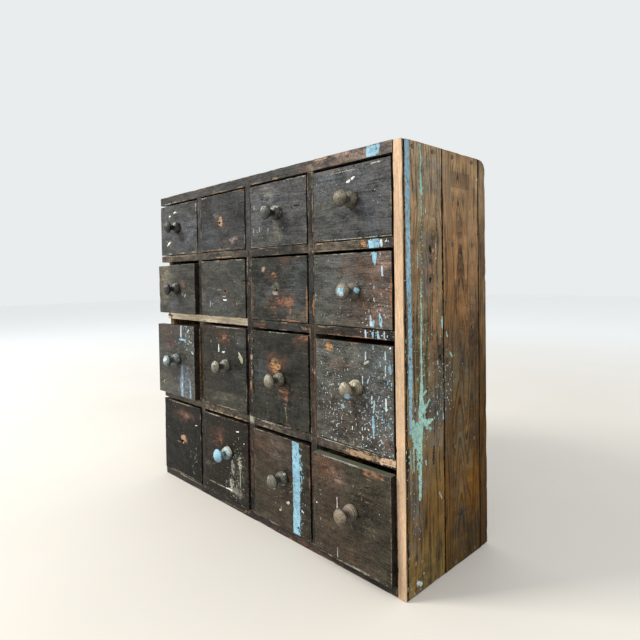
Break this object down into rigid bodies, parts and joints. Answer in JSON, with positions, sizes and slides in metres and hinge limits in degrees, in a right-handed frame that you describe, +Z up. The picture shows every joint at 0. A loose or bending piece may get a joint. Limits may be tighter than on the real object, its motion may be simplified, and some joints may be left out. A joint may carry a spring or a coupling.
{
  "type": "workshop drawer bank",
  "caption": "Bank of small wooden workshop drawers in a grid, with turned knobs on nailed fronts, in an open-fronted carcass of lapped boards.",
  "frame": {"origin": "centre of the carcass's underside", "axes": "+X along the drawer fronts to the right as seen from the front, +Y from the fronts to the back, +Z up"},
  "size_m": [0.6006, 0.2408, 0.56],
  "materials": {
    "front_paint": "worn near-black paint over brown wood, with old paint splashes",
    "frame_paint": "worn near-black paint rubbed through to brown wood on the edges",
    "aged_side_wood": "unpainted weathered softwood with blue and green paint drips",
    "weathered_board": "unpainted weathered boards",
    "bare_pale_wood": "bare pale wood",
    "drawer_pine": "unpainted dusty pine",
    "turned_knob": "turned wood, painted and worn grey",
    "iron_nail": "rusty iron"
  },
  "bodies": {
    "carcass": {"side_board_right_front": "aged_side_wood", "side_board_right_rear": "aged_side_wood", "side_boards_left": "weathered_board", "top_boards": "frame_paint", "bottom_board": "frame_paint", "center_divider": "frame_paint", "divider_left": "frame_paint", "divider_right": "frame_paint", "shelf_left_1": "frame_paint", "shelf_left_2": "bare_pale_wood", "shelf_left_3": "frame_paint", "shelf_right_1": "frame_paint", "shelf_right_2": "frame_paint", "shelf_right_3": "frame_paint", "back_boards": "weathered_board", "carcass_nails": "iron_nail"},
    "drawer_r1c1": {"drawer_r1c1_front": "front_paint", "drawer_r1c1_box": "drawer_pine", "knob_r1c1": "turned_knob"},
    "drawer_r1c2": {"drawer_r1c2_front": "front_paint", "drawer_r1c2_box": "drawer_pine"},
    "drawer_r1c3": {"drawer_r1c3_front": "front_paint", "drawer_r1c3_box": "drawer_pine", "knob_r1c3": "turned_knob"},
    "drawer_r1c4": {"drawer_r1c4_front": "front_paint", "drawer_r1c4_box": "drawer_pine", "knob_r1c4": "turned_knob"},
    "drawer_r2c1": {"drawer_r2c1_front": "front_paint", "drawer_r2c1_box": "drawer_pine", "knob_r2c1": "turned_knob"},
    "drawer_r2c2": {"drawer_r2c2_front": "front_paint", "drawer_r2c2_box": "drawer_pine"},
    "drawer_r2c3": {"drawer_r2c3_front": "front_paint", "drawer_r2c3_box": "drawer_pine"},
    "drawer_r2c4": {"drawer_r2c4_front": "front_paint", "drawer_r2c4_box": "drawer_pine", "knob_r2c4": "turned_knob"},
    "drawer_r3c1": {"drawer_r3c1_front": "front_paint", "drawer_r3c1_box": "drawer_pine", "knob_r3c1": "turned_knob"},
    "drawer_r3c2": {"drawer_r3c2_front": "front_paint", "drawer_r3c2_box": "drawer_pine", "knob_r3c2": "turned_knob"},
    "drawer_r3c3": {"drawer_r3c3_front": "front_paint", "drawer_r3c3_box": "drawer_pine", "knob_r3c3": "turned_knob"},
    "drawer_r3c4": {"drawer_r3c4_front": "front_paint", "drawer_r3c4_box": "drawer_pine", "knob_r3c4": "turned_knob"},
    "drawer_r4c1": {"drawer_r4c1_front": "front_paint", "drawer_r4c1_box": "drawer_pine"},
    "drawer_r4c2": {"drawer_r4c2_front": "front_paint", "drawer_r4c2_box": "drawer_pine", "knob_r4c2": "turned_knob"},
    "drawer_r4c3": {"drawer_r4c3_front": "front_paint", "drawer_r4c3_box": "drawer_pine", "knob_r4c3": "turned_knob"},
    "drawer_r4c4": {"drawer_r4c4_front": "front_paint", "drawer_r4c4_box": "drawer_pine", "knob_r4c4": "turned_knob"}
  },
  "joints": [
    {"name": "slide_r1c1", "type": "slide", "parent": "carcass", "child": "drawer_r1c1", "axis": [0, -1, 0], "range_m": [-0.001, 0.144]},
    {"name": "slide_r1c2", "type": "slide", "parent": "carcass", "child": "drawer_r1c2", "axis": [0, -1, 0], "range_m": [-0.001, 0.144]},
    {"name": "slide_r1c3", "type": "slide", "parent": "carcass", "child": "drawer_r1c3", "axis": [0, -1, 0], "range_m": [-0.0005, 0.1445]},
    {"name": "slide_r1c4", "type": "slide", "parent": "carcass", "child": "drawer_r1c4", "axis": [0, -1, 0], "range_m": [-0.001, 0.144]},
    {"name": "slide_r2c1", "type": "slide", "parent": "carcass", "child": "drawer_r2c1", "axis": [0, -1, 0], "range_m": [-0.008, 0.137]},
    {"name": "slide_r2c2", "type": "slide", "parent": "carcass", "child": "drawer_r2c2", "axis": [0, -1, 0], "range_m": [-0.002, 0.143]},
    {"name": "slide_r2c3", "type": "slide", "parent": "carcass", "child": "drawer_r2c3", "axis": [0, -1, 0], "range_m": [-0.001, 0.144]},
    {"name": "slide_r2c4", "type": "slide", "parent": "carcass", "child": "drawer_r2c4", "axis": [0, -1, 0], "range_m": [-0.002, 0.143]},
    {"name": "slide_r3c1", "type": "slide", "parent": "carcass", "child": "drawer_r3c1", "axis": [0, -1, 0], "range_m": [-0.012, 0.133]},
    {"name": "slide_r3c2", "type": "slide", "parent": "carcass", "child": "drawer_r3c2", "axis": [0, -1, 0], "range_m": [-0.003, 0.142]},
    {"name": "slide_r3c3", "type": "slide", "parent": "carcass", "child": "drawer_r3c3", "axis": [0, -1, 0], "range_m": [-0.002, 0.143]},
    {"name": "slide_r3c4", "type": "slide", "parent": "carcass", "child": "drawer_r3c4", "axis": [0, -1, 0], "range_m": [-0.001, 0.144]},
    {"name": "slide_r4c1", "type": "slide", "parent": "carcass", "child": "drawer_r4c1", "axis": [0, -1, 0], "range_m": [-0.002, 0.143]},
    {"name": "slide_r4c2", "type": "slide", "parent": "carcass", "child": "drawer_r4c2", "axis": [0, -1, 0], "range_m": [-0.003, 0.142]},
    {"name": "slide_r4c3", "type": "slide", "parent": "carcass", "child": "drawer_r4c3", "axis": [0, -1, 0], "range_m": [-0.002, 0.143]},
    {"name": "slide_r4c4", "type": "slide", "parent": "carcass", "child": "drawer_r4c4", "axis": [0, -1, 0], "range_m": [-0.009, 0.136]}
  ]
}
